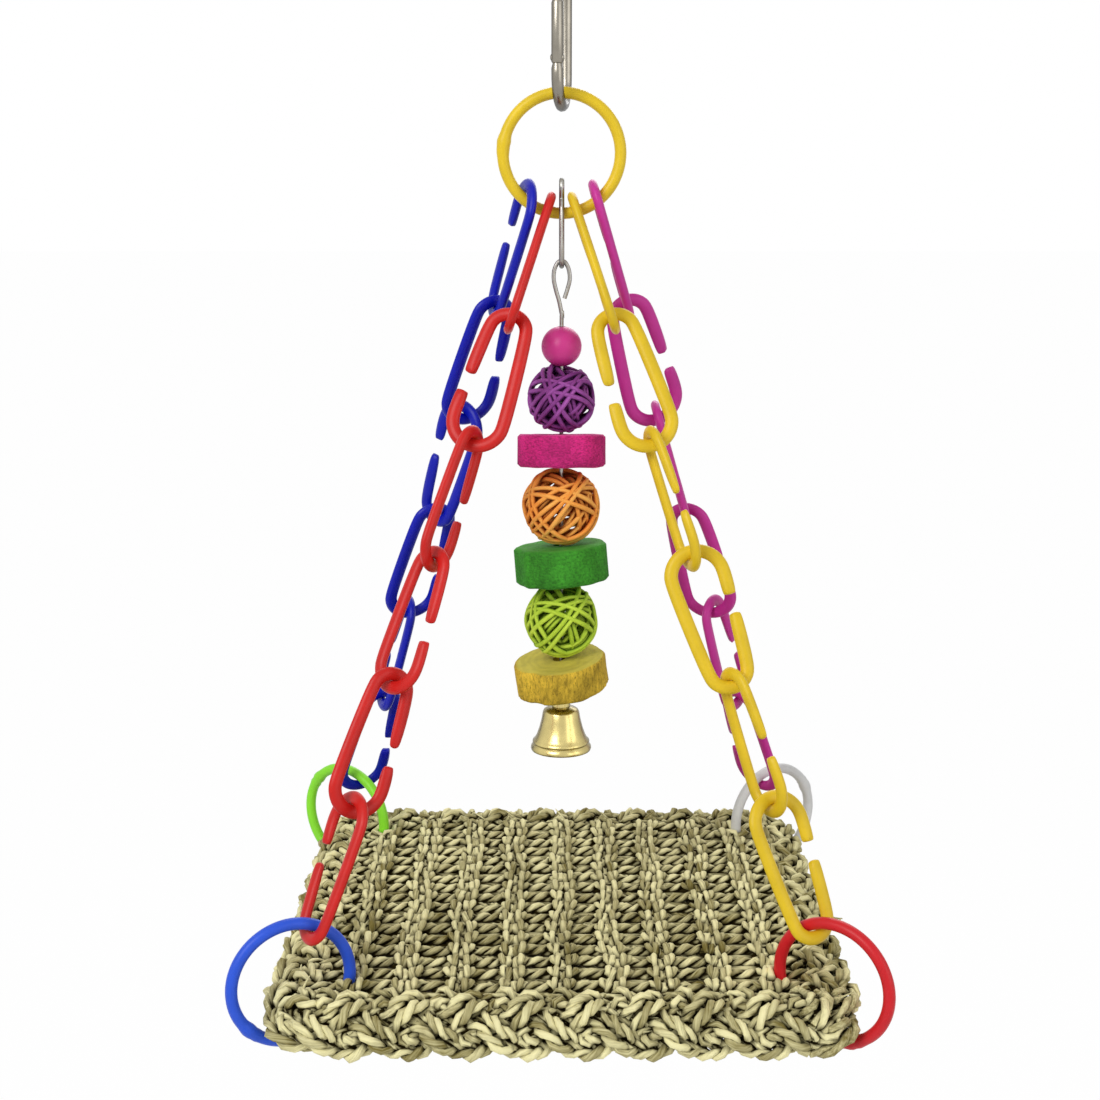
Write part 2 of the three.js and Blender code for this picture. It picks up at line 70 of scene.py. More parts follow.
def linked(name, data):
    made = bpy.data.objects.new(name, data)
    bpy.context.scene.collection.objects.link(made)
    return made


# Camera, light and floor

photo = dict(pixels=1100, focal=1700, sensor=36.0, away=0.593, aboveRingFoot=0.003, right=-0.004, pitch=11.5,
             ringBar=0.0041, nearClip=0.01)


def makeCamera():
    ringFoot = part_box("top_ring")[0].z + photo["ringBar"] / 2
    data = bpy.data.cameras.new("photoCamera")
    data.sensor_width = photo["sensor"]
    data.lens = photo["sensor"] * photo["focal"] / photo["pixels"]
    data.clip_start = photo["nearClip"]
    camera = linked("photoCamera", data)
    camera.location = (photo["right"], -photo["away"], ringFoot + photo["aboveRingFoot"])
    camera.rotation_euler = (radians(90 - photo["pitch"]), 0, 0)
    bpy.context.scene.camera = camera
    bpy.context.scene.view_settings.view_transform = "Standard"


def srgb(red, green, blue):
    def linear(value):
        value /= 255
        return value / 12.92 if value <= 0.04045 else ((value + 0.055) / 1.055) ** 2.4
    return (linear(red), linear(green), linear(blue), 1)


def grey(value):
    return (value, value, value, 1)


def addNode(tree, kind, inputs=None, **settings):
    made = tree.nodes.new(kind)
    for key, value in settings.items():
        setattr(made, key, value)
    for key, value in (inputs or {}).items():
        if isinstance(value, bpy.types.NodeSocket):
            tree.links.new(value, made.inputs[key])
        else:
            made.inputs[key].default_value = value
    return made


def mathOf(tree, operation, *values, **settings):
    inputs = dict(enumerate(values))
    return addNode(tree, "ShaderNodeMath", inputs, operation=operation, **settings).outputs[0]


# 1 for a ray that should see the plain background: the camera's own, a reflection or a view through glass
def backgroundRay(tree):
    rays = addNode(tree, "ShaderNodeLightPath").outputs
    seen = mathOf(tree, "ADD", rays["Is Camera Ray"], rays["Is Glossy Ray"], use_clamp=True)
    return mathOf(tree, "ADD", seen, rays["Is Transmission Ray"], use_clamp=True)


studio = dict(ambient=0.42, floorDrop=0.55, floorSize=30.0, floorColour=0.86, floorGlow=0.985)
lamps = [
    dict(name="keyLamp", place=(-0.75, -1.05, 0.75), size=0.8, power=12.5),
    dict(name="fillLamp", place=(1.0, -0.8, 0.25), size=1.0, power=4.0),
    dict(name="rimLamp", place=(0.2, 1.1, 0.7), size=0.9, power=6.0),
]


def makeStudio():
    world = bpy.data.worlds.new("studioWorld")
    bpy.context.scene.world = world
    world.use_nodes = True
    tree = world.node_tree
    tree.nodes.clear()
    light = addNode(tree, "ShaderNodeBackground", {"Color": (1, 1, 1, 1), "Strength": studio["ambient"]})
    plain = addNode(tree, "ShaderNodeBackground", {"Color": (1, 1, 1, 1), "Strength": 1.0})
    sky = addNode(tree, "ShaderNodeMixShader",
                  {0: backgroundRay(tree), 1: light.outputs[0], 2: plain.outputs[0]})
    addNode(tree, "ShaderNodeOutputWorld", {"Surface": sky.outputs[0]})

    middle = (cadBox[0] + cadBox[1]) / 2
    for lamp in lamps:
        data = bpy.data.lights.new(lamp["name"], "AREA")
        data.size = lamp["size"]
        data.energy = lamp["power"]
        made = linked(lamp["name"], data)
        made.location = middle + Vector(lamp["place"])
        made.rotation_euler = (middle - made.location).to_track_quat("-Z", "Y").to_euler()

    bm = bmesh.new()
    bmesh.ops.create_grid(bm, x_segments=1, y_segments=1, size=studio["floorSize"])
    bmesh.ops.translate(bm, verts=bm.verts, vec=(0, 0, cadBox[0].z - studio["floorDrop"]))
    floor = meshObject("floor", bm)
    paint = bpy.data.materials.new("floorPaint")
    paint.use_nodes = True
    tree = paint.node_tree
    tree.nodes.clear()
    matt = addNode(tree, "ShaderNodeBsdfDiffuse", {"Color": grey(studio["floorColour"])})
    glow = addNode(tree, "ShaderNodeEmission", {"Color": (1, 1, 1, 1), "Strength": 1.0})
    seen = mathOf(tree, "MULTIPLY", backgroundRay(tree), studio["floorGlow"])
    surface = addNode(tree, "ShaderNodeMixShader", {0: seen, 1: matt.outputs[0], 2: glow.outputs[0]})
    addNode(tree, "ShaderNodeOutputMaterial", {"Surface": surface.outputs[0]})
    floor.data.materials.append(paint)


# Mesh helpers

def meshObject(name, bm):
    data = bpy.data.meshes.new(name)
    bm.to_mesh(data)
    bm.free()
    return linked(name, data)


def shadeSmooth(piece):
    piece.data.polygons.foreach_set("use_smooth", [True] * len(piece.data.polygons))


def sharpEdges(piece, angle):
    bm = bmesh.new()
    bm.from_mesh(piece.data)
    for edge in bm.edges:
        if edge.is_manifold and edge.calc_face_angle(0) > radians(angle):
            edge.smooth = False
    bm.to_mesh(piece.data)
    bm.free()


def subdivided(piece, levels):
    made = piece.modifiers.new("subdivision", "SUBSURF")
    made.levels = levels
    made.render_levels = levels
    return piece


def dressed(piece, material, body, slot, *nodes):
    piece.data.materials.append(material)
    shadeSmooth(piece)
    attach(piece, body)
    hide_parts(*nodes)
    return piece


# Degrees from one direction to another, from -180 to 180
def turnFrom(start, angle):
    return (angle - start + 180) % 360 - 180


def heading(angle):
    return Vector((cos(radians(angle)), sin(radians(angle)), 0))


def turned(start, end):
    return Vector(start).rotation_difference(Vector(end)).to_matrix().to_4x4()


def inMetres(profile):
    return [(radius * mm, height * mm) for radius, height in profile]


# A profile of radius and height turned about Z; it closes on itself or ends on the axis
def turnedShape(profile, steps, closed=True):
    bm = bmesh.new()
    verts = [bm.verts.new((radius, 0, height)) for radius, height in profile]
    pairs = list(zip(verts, verts[1:]))
    if closed:
        pairs.append((verts[-1], verts[0]))
    edges = [bm.edges.new(pair) for pair in pairs]
    bmesh.ops.spin(bm, geom=verts + edges, cent=(0, 0, 0), axis=(0, 0, 1), angle=2 * pi, steps=steps,
                   use_merge=True, use_duplicate=False)
    bmesh.ops.remove_doubles(bm, verts=bm.verts, dist=1e-6)
    bmesh.ops.recalc_face_normals(bm, faces=bm.faces)
    return bm


# Curves: strands are lists of (point, radius, tilt)
def strandCurve(name, strands, profile, closed=False):
    data = bpy.data.curves.new(name, "CURVE")
    data.dimensions = "3D"
    data.bevel_mode = "OBJECT"
    data.bevel_object = profile
    data.use_fill_caps = True
    for strand in strands:
        spline = data.splines.new("POLY")
        spline.points.add(len(strand) - 1)
        for made, (point, radius, tilt) in zip(spline.points, strand):
            made.co = (*point, 1)
            made.radius = radius
            made.tilt = tilt
        spline.use_cyclic_u = closed
    made = linked(name + "Line", data)
    bpy.context.view_layer.update()
    mesh = bpy.data.meshes.new_from_object(made.evaluated_get(bpy.context.evaluated_depsgraph_get()))
    mesh.name = name
    bpy.data.objects.remove(made)
    return linked(name, mesh)


# A line through all the points, rounded between them
def smoothLine(points, steps):
    made = []
    last = len(points) - 1
    for i in range(last):
        a, b, c, d = (points[min(max(i + k, 0), last)] for k in (-1, 0, 1, 2))
        for j in range(steps):
            t = j / steps
            made.append(0.5 * (2 * b + (c - a) * t + (2 * a - 5 * b + 4 * c - d) * t * t
                               + (3 * b - a - 3 * c + d) * t ** 3))
    made.append(points[-1])
    return made


# A closed flat curve that strands are swept with, of radius 1 mm before each point's own radius
def strandProfile(name, radii):
    data = bpy.data.curves.new(name, "CURVE")
    data.dimensions = "2D"
    data.fill_mode = "NONE"
    spline = data.splines.new("POLY")
    spline.points.add(len(radii) - 1)
    for i, (point, radius) in enumerate(zip(spline.points, radii)):
        angle = 2 * pi * i / len(radii)
        point.co = (radius * mm * cos(angle), radius * mm * sin(angle), 0, 1)
    spline.use_cyclic_u = True
    made = linked(name, data)
    made.hide_render = True
    return made


roundProfile = strandProfile("roundProfile", [1.0] * 10)
bladeProfile = strandProfile("bladeProfile", [1.04, 0.9] * 4)
crevices = dict(reach=4.5, own=5)  # how far a neighbour counts, and how many of a strand's own points don't


# How deep each point of the strands lies among the others: an attribute for painted shade in the crevices
def markCrevices(pieces, profile):
    sides = len(profile.data.splines[0].points)
    strands = [strand for _, group, _ in pieces for strand in group]
    centres = np.array([point for strand in strands for point, _, _ in strand]) / mm
    radii = np.array([radius for strand in strands for _, radius, _ in strand])
    owner = np.repeat(np.arange(len(strands)), [len(strand) for strand in strands])
    tree = kdtree.KDTree(len(centres))
    for i, point in enumerate(centres):
        tree.insert(point, i)
    tree.balance()
    ring = 0
    for piece, group, amount in pieces:
        skin = np.empty(len(piece.data.vertices) * 3, dtype=np.float32)
        piece.data.vertices.foreach_get("co", skin)
        skin = skin.reshape(-1, sides, 3) / mm
        shadeAmount = np.zeros(skin.shape[:2], dtype=np.float32)
        caps = len(skin) - sum(len(strand) for strand in group)  # their points come first
        for i, around in enumerate(skin[caps:], caps):
            near = np.array([index for _, index, _ in tree.find_range(centres[ring], crevices["reach"])])
            near = near[(owner[near] != owner[ring]) | (abs(near - ring) > crevices["own"])]
            if len(near):
                out = around - centres[ring]
                out /= np.linalg.norm(out, axis=1)[:, None]
                toward = centres[near] - around[:, None]
                gap = np.linalg.norm(toward, axis=2)
                facing = np.clip(np.einsum("ij,ikj->ik", out, toward) / gap, 0, 1)
                shadeAmount[i] = (facing * (radii[near] / gap) ** 2).sum(1)
            ring += 1
        mark = piece.data.attributes.new("creviceShade", "FLOAT", "POINT")
        mark.data.foreach_set("value", np.clip(shadeAmount.ravel() * amount, 0, 1))


# Shared finishes

# Each finish has its own inputs, a colour or a value, and puts out colour, roughness and height
def makeGroup(name, **inputs):
    group = bpy.data.node_groups.new(name, "ShaderNodeTree")
    for socket, value in inputs.items():
        kind = "NodeSocketColor" if isinstance(value, tuple) else "NodeSocketFloat"
        group.interface.new_socket(name=socket, in_out="INPUT", socket_type=kind).default_value = value
    group.interface.new_socket(name="Colour", in_out="OUTPUT", socket_type="NodeSocketColor")
    for socket in ("Roughness", "Height"):
        group.interface.new_socket(name=socket, in_out="OUTPUT", socket_type="NodeSocketFloat")
    return group, addNode(group, "NodeGroupInput").outputs


def putOut(group, colour, roughness, height):
    addNode(group, "NodeGroupOutput", {"Colour": colour, "Roughness": roughness, "Height": height})
    return group


def ramp(tree, factor, stops):
    made = addNode(tree, "ShaderNodeValToRGB", {"Fac": factor})
    elements = made.color_ramp.elements
    while len(elements) < len(stops):
        elements.new(0.5)
    for element, (place, colour) in zip(elements, stops):
        element.position = place
        element.color = colour
    return made.outputs["Color"]


def mixed(tree, factor, first, second, blend="MIX"):
    inputs = {0: factor, 6: first, 7: second}
    return addNode(tree, "ShaderNodeMix", inputs, data_type="RGBA", blend_type=blend).outputs[2]


def multiplied(tree, colour, shade, amount=1.0):
    return mixed(tree, amount, colour, shade, "MULTIPLY")


# A value brought from one range to another
def ranged(tree, value, source=(0, 1), target=(0, 1)):
    limits = dict(zip(("From Min", "From Max", "To Min", "To Max"), source + target))
    return addNode(tree, "ShaderNodeMapRange", {"Value": value, **limits}).outputs[0]


def objectPlace(tree, scale=(1, 1, 1)):
    coordinates = addNode(tree, "ShaderNodeTexCoord").outputs["Object"]
    return addNode(tree, "ShaderNodeMapping", {"Vector": coordinates, "Scale": scale}).outputs[0]


def noiseOf(tree, vector, scale, detail=3.0, roughness=0.55):
    inputs = {"Vector": vector, "Scale": scale, "Detail": detail, "Roughness": roughness}
    return addNode(tree, "ShaderNodeTexNoise", inputs).outputs["Fac"]


# Moulded plastic: soft mottling, flecks and a fine peel
def makePlasticGroup():
    group, given = makeGroup("mouldedPlastic", Colour=grey(0.8))
    place = objectPlace(group)
    mottle = ramp(group, noiseOf(group, place, 90, 4), [(0.3, grey(0.86)), (0.7, grey(1.0))])
    fleck = ramp(group, noiseOf(group, place, 1300, 2), [(0.32, grey(0.84)), (0.42, grey(1.0))])
    worn = multiplied(group, given["Colour"], mottle)
    dull = ranged(group, noiseOf(group, place, 260, 3), target=(0.3, 0.5))
    return putOut(group, multiplied(group, worn, fleck, 0.3), dull, noiseOf(group, place, 700, 3))


# Bare metal: faint clouding and scuffs
def makeMetalGroup():
    group, given = makeGroup("handledMetal", Colour=grey(0.7), Dull=0.3)
    place = objectPlace(group)
    cloud = ramp(group, noiseOf(group, place, 160, 4), [(0.3, grey(0.78)), (0.65, grey(1.0))])
    scuff = noiseOf(group, objectPlace(group, (1, 1, 0.2)), 900, 4)
    dull = mathOf(group, "ADD", given["Dull"], ranged(group, scuff, target=(-0.1, 0.14)))
    return putOut(group, multiplied(group, given["Colour"], cloud), dull, scuff)


# Dyed wood: fibres and dark pores on the sides, and a paler sawn face with rings
def makeWoodGroup():
    group, given = makeGroup("dyedWood", Colour=grey(0.5), Face=grey(0.6), Pores=0.5, Grain=1.0)
    along = {"X": 0.8, "Y": 0.8, "Z": given["Grain"]}
    grain = addNode(group, "ShaderNodeCombineXYZ", along).outputs[0]
    fibres = noiseOf(group, objectPlace(group, grain), 1100, 4, 0.7)
    patches = noiseOf(group, objectPlace(group, (1, 1, 0.7)), 110, 4)
    pits = noiseOf(group, objectPlace(group, (1, 1, 0.5)), 1900, 2)
    growth = addNode(group, "ShaderNodeTexWave",
                     {"Vector": objectPlace(group, (1, 0.9, 1)), "Scale": 110, "Distortion": 6, "Detail": 3,
                      "Detail Scale": 1.5}, wave_type="RINGS", rings_direction="Z").outputs["Fac"]
    normal = addNode(group, "ShaderNodeNewGeometry").outputs["Normal"]
    upright = addNode(group, "ShaderNodeSeparateXYZ", {"Vector": normal}).outputs["Z"]
    onFace = ranged(group, mathOf(group, "ABSOLUTE", upright), source=(0.75, 0.92))
    streak = ramp(group, fibres, [(0.34, grey(0.56)), (0.5, grey(0.98)), (0.68, grey(1.3))])
    side = multiplied(group, given["Colour"], streak)
    patch = ramp(group, patches, [(0.34, grey(0.55)), (0.62, grey(1.16))])
    side = multiplied(group, side, patch, 0.8)
    pitShade = ramp(group, pits, [(0.3, grey(0.3)), (0.4, grey(1.0))])
    side = multiplied(group, side, pitShade, given["Pores"])
    ringShade = ramp(group, growth, [(0.2, grey(0.94)), (0.8, grey(1.02))])
    face = multiplied(group, given["Face"], ringShade)
    face = multiplied(group, face, patch, 0.4)
    dull = ranged(group, fibres, target=(0.68, 0.9))
    return putOut(group, mixed(group, onFace, side, face), dull, mathOf(group, "ADD", fibres, pits))


# Strands of vine or grass: streaks run along the strand's own map, each strand has its own tone,
# and the crevices between strands get painted shade
def makeStrandGroup():
    group, given = makeGroup("dryStrand", Pale=grey(0.7), Deep=grey(0.3), Streaks=1.0, Spread=0.5,
                             Crevice=grey(0.2))
    island = addNode(group, "ShaderNodeNewGeometry").outputs["Random Per Island"]
    uv = addNode(group, "ShaderNodeTexCoord").outputs["UV"]
    shift = addNode(group, "ShaderNodeVectorMath", {0: uv, 1: island}, operation="ADD").outputs[0]
    length = addNode(group, "ShaderNodeCombineXYZ", {"X": 26.0, "Y": 11.0, "Z": 1.0}).outputs[0]
    along = addNode(group, "ShaderNodeVectorMath", {0: shift, 1: length}, operation="MULTIPLY").outputs[0]
    streaks = noiseOf(group, along, 1.0, 4, 0.6)
    wide = noiseOf(group, objectPlace(group), 75, 3)
    tone = mathOf(group, "SUBTRACT", wide, mathOf(group, "MULTIPLY", island, given["Spread"]))
    mark = mathOf(group, "MULTIPLY", streaks, given["Streaks"])
    level = ranged(group, mathOf(group, "ADD", tone, mark), source=(0.3, 0.95))
    grown = mixed(group, level, given["Deep"], given["Pale"])
    # Painted shade: points that lie deep among the strands turn towards the shade's colour
    shadeAmount = addNode(group, "ShaderNodeAttribute", attribute_name="creviceShade").outputs["Fac"]
    shade = mixed(group, ranged(group, shadeAmount, source=(0.06, 0.7)), grey(1.0), given["Crevice"])
    dull = ranged(group, streaks, target=(0.9, 0.6))
    return putOut(group, multiplied(group, grown, shade), dull, streaks)


plasticGroup = makePlasticGroup()
metalGroup = makeMetalGroup()
woodGroup = makeWoodGroup()
strandGroup = makeStrandGroup()


def finish(name, group, values, bump, bumpDepth, edge=None, **settings):
    made = bpy.data.materials.new(name)
    made.use_nodes = True
    tree = made.node_tree
    tree.nodes.clear()
    effect = addNode(tree, "ShaderNodeGroup", node_tree=group)
    for key, value in values.items():
        effect.inputs[key].default_value = value
    shader = addNode(tree, "ShaderNodeBsdfPrincipled")
    for key, value in settings.items():
        shader.inputs[key.replace("_", " ")].default_value = value
    colour = effect.outputs["Colour"]
    # Painted reflection: the colour darkens towards the rims, where the surface turns away from the view
    if edge:
        facing = addNode(tree, "ShaderNodeLayerWeight", {"Blend": 0.5}).outputs["Facing"]
        colour = multiplied(tree, colour, ramp(tree, facing, [(0.25, grey(1.0)), (0.75, grey(edge))]))
    bumped = addNode(tree, "ShaderNodeBump", {"Strength": bump, "Distance": bumpDepth,
                                              "Height": effect.outputs["Height"]})
    tree.links.new(colour, shader.inputs["Base Color"])
    tree.links.new(effect.outputs["Roughness"], shader.inputs["Roughness"])
    tree.links.new(bumped.outputs[0], shader.inputs["Normal"])
    addNode(tree, "ShaderNodeOutputMaterial", {"Surface": shader.outputs[0]})
    return made


def plastic(name, colour):
    return finish(name, plasticGroup, {"Colour": srgb(*colour)}, bump=0.03, bumpDepth=0.2 * mm,
                  Specular_IOR_Level=0.3)


def metal(name, colour, dull, edge):
    return finish(name, metalGroup, {"Colour": srgb(*colour), "Dull": dull}, bump=0.05, bumpDepth=0.1 * mm,
                  edge=edge, Metallic=1.0)


def dyedWood(name, colour, face, pores, grain):
    values = {"Colour": srgb(*colour), "Face": srgb(*face), "Pores": pores, "Grain": grain}
    return finish(name, woodGroup, values, bump=0.5, bumpDepth=0.4 * mm, Specular_IOR_Level=0.2)


# The third colour is that of the painted shade in the crevices between strands
def strandFinish(name, pale, deep, creviceShade, streaks, spread, bump, shine):
    values = {"Pale": srgb(*pale), "Deep": srgb(*deep), "Crevice": creviceShade, "Streaks": streaks,
              "Spread": spread}
    return finish(name, strandGroup, values, bump, bumpDepth=0.5 * mm, Specular_IOR_Level=shine)


# The last number of each is how dark the painted reflection at the metal's rims turns
clipSteel = metal("clipSteel", (158, 152, 140), dull=0.26, edge=0.07)
wireSteel = metal("wireSteel", (176, 174, 168), dull=0.3, edge=0.2)
bellBrass = metal("bellBrass", (222, 204, 136), dull=0.24, edge=0.3)


# Rings: round bar with the swelling where the ring snaps shut

ringSizes = dict(bar=4.0 * mm, outer=44 * mm, sides=16, steps=96, swelling=0.22, swellingSpan=8.0,
                 seam=0.2, seamOff=2.5, seamSpan=1.9)
rings = {
    "top_ring": dict(joint="ring_swing", slot="yellow_ring", colour=(240, 205, 38), shut=172),
    "front_left_ring": dict(joint="front_left_ring_turn", slot="blue_ring", colour=(46, 92, 226), shut=225),
    "back_left_ring": dict(joint="back_left_ring_turn", slot="lime_ring", colour=(148, 240, 54), shut=140),
    "front_right_ring": dict(joint="front_right_ring_turn", slot="red_ring", colour=(216, 31, 40), shut=295),
    "back_right_ring": dict(joint="back_right_ring_turn", slot="white_ring", colour=(226, 226, 224), shut=30),
}


def makeRing(node, ring):
    middle = (ringSizes["outer"] - ringSizes["bar"]) / 2
    bm = bmesh.new()
    bmesh.ops.create_circle(bm, segments=ringSizes["sides"], radius=ringSizes["bar"] / 2)
    bmesh.ops.translate(bm, verts=bm.verts, vec=(middle, 0, 0))
    bmesh.ops.spin(bm, geom=bm.verts[:] + bm.edges[:], cent=(0, 0, 0), axis=(0, 1, 0), angle=2 * pi,
                   steps=ringSizes["steps"], use_merge=True)
    bmesh.ops.recalc_face_normals(bm, faces=bm.faces)
    for vert in bm.verts:
        off = turnFrom(ring["shut"], degrees(atan2(vert.co.z, vert.co.x)))
        onBar = Vector((vert.co.x, 0, vert.co.z)).normalized() * middle
        swell = ringSizes["swelling"] * exp(-(off / ringSizes["swellingSpan"]) ** 4)
        seam = ringSizes["seam"] * exp(-((off - ringSizes["seamOff"]) / ringSizes["seamSpan"]) ** 2)
        vert.co = onBar + (vert.co - onBar) * (1 + swell - seam)
    joint = joints[ring["joint"]]
    place = Matrix.Translation(joint["pos_m"]) @ turned((0, 1, 0), joint["axis"])
    bmesh.ops.transform(bm, matrix=place, verts=bm.verts)
    piece = meshObject(node + "_moulded", bm)
    paint = plastic(ring["slot"].replace("_ring", "RingPlastic"), ring["colour"])
    dressed(piece, paint, node, ring["slot"], node)


# Links: the solid's own bars, rounded over

linkShape = dict(perChain=6, weld=0.01 * mm, joinFlat=40, joinSkew=60, inside=0.06 * mm, outside=0.26 * mm,
                 facing=0.5, levels=2)
linkColours = dict(red=(212, 33, 28), blue=(2, 18, 178), yellow=(236, 200, 36), pink=(204, 52, 154))


def makeLinks():
    flat, skew = radians(linkShape["joinFlat"]), radians(linkShape["joinSkew"])
    grow = linkShape["outside"] - linkShape["inside"]
    for colour, tint in linkColours.items():
        paint = plastic(colour + "LinkPlastic", tint)
        for number in range(linkShape["perChain"]):
            node = f"{colour}_link_{number + 1}"
            bm = bmesh.new()
            bm.from_mesh(frame["nodes"][node].data)
            bmesh.ops.remove_doubles(bm, verts=bm.verts, dist=linkShape["weld"])
            bmesh.ops.join_triangles(bm, faces=bm.faces, angle_face_threshold=flat,
                                     angle_shape_threshold=skew)
            bm.normal_update()
            middle = sum(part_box(node), Vector()) / 2
            for vert in bm.verts:  # rounding thins the bars, and the bows keep room for the next link
                outward = vert.normal.dot((vert.co - middle).normalized())
                share = min(1.0, max(0.0, outward + linkShape["facing"]))
                vert.co += vert.normal * (linkShape["inside"] + grow * share)
            piece = subdivided(meshObject(node + "_moulded", bm), linkShape["levels"])
            piece.data.materials.clear()
            dressed(piece, paint, node, colour + "_link", node)


# Snap clip: bent wire with a thin tongue that the gate's rivet goes through
# The gate's and the rivet's profiles are (radius, height) in millimetres: the gate's from its foot and from
# its top, the rivet's from its middle

clipSizes = dict(wire=4 * mm, width=24 * mm, length=50 * mm, noseGap=0.8 * mm, shoulderGap=1.4 * mm,
                 tongue=1.5 * mm, tongueRise=1.2 * mm, steps=14)
gateSizes = dict(foot=[(0, 0), (1.5, 0), (2.0, 0.6)], top=[(2.0, -1.6), (1.55, -0.5), (1.0, 0), (0, 0)],
                 sides=24)
rivetSizes = dict(end=[(0, 2.35), (0.7, 2.3), (1.05, 2.05)], sides=20)


def makeClip():
    pinMiddle = sum(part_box("gate_pin"), Vector()) / 2
    gateLow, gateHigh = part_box("clip_gate")
    ahead = Vector((pinMiddle.x, pinMiddle.y, 0)).normalized()
    bend = (clipSizes["width"] - clipSizes["wire"]) / 2
    top = clipSizes["wire"] / 2 - bend
    foot = top - (clipSizes["length"] - clipSizes["width"])
    points = [ahead * bend + upward * (gateHigh.z + clipSizes["noseGap"])]
    for middle, start in ((top, 0), (foot, pi)):
        for i in range(clipSizes["steps"] + 1):
            angle = start + pi * i / clipSizes["steps"]
            points.append(ahead * bend * cos(angle) + upward * (middle + bend * sin(angle)))
    points.append(ahead * bend + upward * (gateLow.z - clipSizes["shoulderGap"]))
    points.append(ahead * bend + upward * (pinMiddle.z + clipSizes["tongueRise"]))
    radii = [clipSizes["wire"] / 2 / mm] * (len(points) - 1) + [clipSizes["tongue"] / 2 / mm]
    body = strandCurve("clip_wire", [[(p, r, 0) for p, r in zip(points, radii)]], roundProfile)
    dressed(body, clipSteel, "clip", "clip_steel", "clip_body")

    tall = (gateHigh.z - gateLow.z) / mm
    profile = gateSizes["foot"] + [(radius, tall + height) for radius, height in gateSizes["top"]]
    gate = turnedShape(inMetres(profile), gateSizes["sides"], closed=False)
    bmesh.ops.translate(gate, verts=gate.verts, vec=ahead * bend + upward * gateLow.z)
    dressed(meshObject("gate_sleeve", gate), clipSteel, "gate", "clip_steel", "clip_gate", "gate_spring")

    end = rivetSizes["end"]
    profile = [(radius, -height) for radius, height in end] + end[::-1]
    rivet = turnedShape(inMetres(profile), rivetSizes["sides"], closed=False)
    place = Matrix.Translation(pinMiddle) @ turned(upward, upward.cross(ahead))
    bmesh.ops.transform(rivet, matrix=place, verts=rivet.verts)
    dressed(meshObject("gate_rivet", rivet), clipSteel, "clip", "clip_steel", "gate_pin")


# Toy string's hook: one loop of wire, drawn in over the ring's bar and open in a narrow bow above it
# Sides are shares of the half width with heights over the bar, the bow is in shares of half width and height,
# and the bowl under the bar is in shares of the half width

hookSizes = dict(wire=1.8 * mm, waist=1.3 * mm, waistHeight=4.8 * mm, endGap=0.2 * mm, smoothing=5,
                 sides=[(0.83, 0.4 * mm), (0.57, 3.0 * mm)], bow=[(0.4, 0.62), (0.5, 0.8), (0.3, 0.96)],
                 bowl=[(1, 1), (0.72, 0.3)])


def makeHook():
    low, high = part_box("toy_hook")
    bar = joints["toy_swing"]["pos_m"][2]
    wide = (high.y - low.y - hookSizes["wire"]) / 2
    top = high.z - hookSizes["wire"] / 2 - bar
    foot = low.z + hookSizes["wire"] / 2 - bar
    half = [(wide, foot / 2 + hookSizes["endGap"])]
    half += [(share * wide, height) for share, height in hookSizes["sides"]]
    half += [(hookSizes["waist"], hookSizes["waistHeight"])]
    half += [(share * wide, height * top) for share, height in hookSizes["bow"]]
    bowl = [(wide, foot / 2)] + [(share * wide, foot + height * wide) for share, height in hookSizes["bowl"]]
    left = [(-y, z) for y, z in reversed(half[1:])] + [(-y, z) for y, z in bowl]
    outline = half + [(0, top)] + left + [(0, foot)] + bowl[::-1]
    points = smoothLine([Vector((0, y, bar + z)) for y, z in outline], hookSizes["smoothing"])
    hook = strandCurve("hook_wire", [[(p, hookSizes["wire"] / 2 / mm, 0) for p in points]], roundProfile)
    dressed(hook, wireSteel, "toy_hook", "wire_steel", "toy_hook")


# Wire: its eye is (across, height from its top) in millimetres, with the free end on the right, and the left
# side runs on into the straight wire

wireSizes = dict(wire=1.5 * mm, beadGap=0.6 * mm, bend=0.25 * mm, loop=1.9 * mm, loopNeck=2.2 * mm,
                 loopFrom=120, loopTurn=265, loopSteps=8, smoothing=6,
                 eye=[(1.0, -12.9), (2.0, -9.8), (2.8, -6.4), (2.5, -3.2), (1.4, -0.8), (0, 0), (-1.4, -0.8),
                      (-2.5, -3.2), (-2.7, -6.4), (-1.9, -10.2), (-0.9, -13.6), (-0.2, -17.0)])


def makeWire():
    low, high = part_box("toy_wire")
    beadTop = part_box("bead")[1].z
    radius = wireSizes["wire"] / 2
    loop = wireSizes["loop"]
    outline = [(x * mm, high.z - radius + z * mm) for x, z in wireSizes["eye"]]
    outline += [(wireSizes["bend"], (outline[-1][1] + beadTop) / 2), (0, beadTop - wireSizes["beadGap"])]
    straight = low.z + 2 * loop + wireSizes["loopNeck"]
    outline += [(0, (beadTop + straight) / 2), (0, straight)]
    for i in range(wireSizes["loopSteps"] + 1):
        angle = radians(wireSizes["loopFrom"] + wireSizes["loopTurn"] * i / wireSizes["loopSteps"])
        outline.append((loop * cos(angle), low.z + radius + loop + loop * sin(angle)))
    points = smoothLine([Vector((x, 0, z)) for x, z in outline], wireSizes["smoothing"])
    wire = strandCurve("string_wire", [[(p, radius / mm, 0) for p in points]], roundProfile)
    dressed(wire, wireSteel, "toy_wire", "wire_steel", "toy_wire")


beadSizes = dict(bore=1.5 * mm, arcSteps=24, sides=48, colour=(222, 58, 150))


